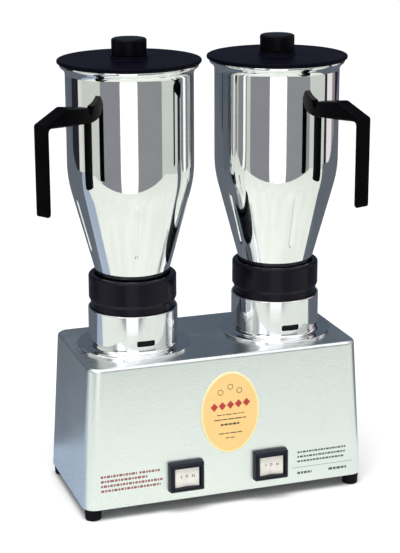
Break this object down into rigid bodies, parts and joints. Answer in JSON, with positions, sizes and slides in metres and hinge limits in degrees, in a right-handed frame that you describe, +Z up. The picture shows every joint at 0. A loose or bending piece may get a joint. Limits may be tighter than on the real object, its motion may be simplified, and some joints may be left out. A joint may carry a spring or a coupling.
{
  "type": "twin bar blender",
  "caption": "Double countertop drinks blender: two steel jugs with lids and grip handles, on one tapered steel motor base with rocker switches.",
  "frame": {"origin": "centre of the base's footprint, on the surface that it stands on", "axes": "+Z up, -Y towards the front with the switches, +X to the right as seen from the front"},
  "size_m": [0.34, 0.2025, 0.4703],
  "materials": {
    "brushed_casing": "brushed stainless steel, fine horizontal grain",
    "polished_socket": "polished stainless steel",
    "polished_vessel": "mirror-polished stainless steel",
    "badge_enamel": "yellow enamel with a cream border",
    "galvanised_plate": "galvanised sheet",
    "foot_rubber": "moulded rubber",
    "pad_rubber": "moulded rubber",
    "gasket_rubber": "food-grade silicone",
    "zinc_screws": "zinc-plated steel",
    "black_nylon": "moulded nylon",
    "white_nylon": "moulded nylon",
    "fan_nylon": "moulded nylon",
    "cup_nylon": "moulded nylon",
    "bearing_steel": "ground steel",
    "dog_steel": "machined steel",
    "cutter_steel": "ground stainless steel",
    "carrier_metal": "machined aluminium",
    "cast_bracket": "die-cast aluminium",
    "laminations": "varnished steel laminations",
    "copper_winding": "varnished copper wire",
    "brush_resin": "moulded resin",
    "switch_bezel": "moulded plastic, satin",
    "switch_shell": "moulded plastic",
    "rocker_cream": "moulded plastic, cream",
    "collar_plastic": "moulded plastic, satin",
    "handle_plastic": "moulded plastic, satin",
    "lid_rubber": "moulded plastic",
    "cap_rubber": "moulded plastic"
  },
  "bodies": {
    "base": {"badge": "badge_enamel", "base_plate": "galvanised_plate", "bearings": "bearing_steel", "brush_gear": "brush_resin", "casing": "brushed_casing", "cord_gland": "black_nylon", "corner_brackets": "galvanised_plate", "feet": "foot_rubber", "field_coils_left": "copper_winding", "field_coils_right": "copper_winding", "foot_screws": "zinc_screws", "gland_nut": "black_nylon", "lower_bracket_left": "cast_bracket", "lower_bracket_right": "cast_bracket", "motor_bolts": "zinc_screws", "socket_left": "polished_socket", "socket_pads": "pad_rubber", "socket_right": "polished_socket", "socket_screws": "zinc_screws", "stator_left": "laminations", "stator_right": "laminations", "switch_body_left": "switch_shell", "switch_body_right": "switch_shell", "switch_frame_left": "switch_bezel", "switch_frame_right": "switch_bezel", "terminal_block": "white_nylon", "top_bracket_left": "cast_bracket", "top_bracket_right": "cast_bracket"},
    "rotor_left": {"shaft_left": "bearing_steel", "armature_left": "laminations", "fan_left": "fan_nylon", "drive_dog_left": "dog_steel"},
    "jug_left": {"vessel_left": "polished_vessel", "handle_left": "handle_plastic", "handle_screws_left": "zinc_screws", "collar_left": "collar_plastic", "blade_carrier_left": "carrier_metal", "blade_gasket_left": "gasket_rubber"},
    "cutter_left": {"spindle_left": "cutter_steel", "blades_left": "cutter_steel", "drive_cup_left": "cup_nylon"},
    "lid_left": {"lid_left": "lid_rubber"},
    "cap_left": {"cap_left": "cap_rubber"},
    "rocker_left": {"rocker_left": "rocker_cream"},
    "rotor_right": {"shaft_right": "bearing_steel", "armature_right": "laminations", "fan_right": "fan_nylon", "drive_dog_right": "dog_steel"},
    "jug_right": {"vessel_right": "polished_vessel", "handle_right": "handle_plastic", "handle_screws_right": "zinc_screws", "collar_right": "collar_plastic", "blade_carrier_right": "carrier_metal", "blade_gasket_right": "gasket_rubber"},
    "cutter_right": {"spindle_right": "cutter_steel", "blades_right": "cutter_steel", "drive_cup_right": "cup_nylon"},
    "lid_right": {"lid_right": "lid_rubber"},
    "cap_right": {"cap_right": "cap_rubber"},
    "rocker_right": {"rocker_right": "rocker_cream"}
  },
  "joints": [
    {"name": "jug_left_lift", "type": "slide", "parent": "base", "child": "jug_left", "axis": [0, 0, 1], "range_m": [0, 0.06]},
    {"name": "lid_left_lift", "type": "slide", "parent": "jug_left", "child": "lid_left", "axis": [0, 0, 1], "range_m": [0, 0.04]},
    {"name": "cap_left_lift", "type": "slide", "parent": "lid_left", "child": "cap_left", "axis": [0, 0, 1], "range_m": [0, 0.03]},
    {"name": "rotor_left_spin", "type": "hinge", "parent": "base", "child": "rotor_left", "pos_m": [-0.0772, 0, 0.1], "axis": [0, 0, 1], "continuous": true},
    {"name": "cutter_left_spin", "type": "hinge", "parent": "jug_left", "child": "cutter_left", "pos_m": [-0.0772, 0, 0.21], "axis": [0, 0, 1], "continuous": true},
    {"name": "rocker_left_tilt", "type": "hinge", "parent": "base", "child": "rocker_left", "pos_m": [-0.0455, -0.06877, 0.03724], "axis": [0, 0.0212, 0.9998], "range_deg": [-8, 8]},
    {"name": "jug_right_lift", "type": "slide", "parent": "base", "child": "jug_right", "axis": [0, 0, 1], "range_m": [0, 0.06]},
    {"name": "lid_right_lift", "type": "slide", "parent": "jug_right", "child": "lid_right", "axis": [0, 0, 1], "range_m": [0, 0.04]},
    {"name": "cap_right_lift", "type": "slide", "parent": "lid_right", "child": "cap_right", "axis": [0, 0, 1], "range_m": [0, 0.03]},
    {"name": "rotor_right_spin", "type": "hinge", "parent": "base", "child": "rotor_right", "pos_m": [0.0772, 0, 0.1], "axis": [0, 0, 1], "continuous": true},
    {"name": "cutter_right_spin", "type": "hinge", "parent": "jug_right", "child": "cutter_right", "pos_m": [0.0772, 0, 0.21], "axis": [0, 0, 1], "continuous": true},
    {"name": "rocker_right_tilt", "type": "hinge", "parent": "base", "child": "rocker_right", "pos_m": [0.0455, -0.06877, 0.03724], "axis": [0, 0.0212, 0.9998], "range_deg": [-8, 8]}
  ],
  "couplings": [
    {"joint": "cutter_left_spin", "follows": "rotor_left_spin", "ratio": 1},
    {"joint": "cutter_right_spin", "follows": "rotor_right_spin", "ratio": 1}
  ]
}
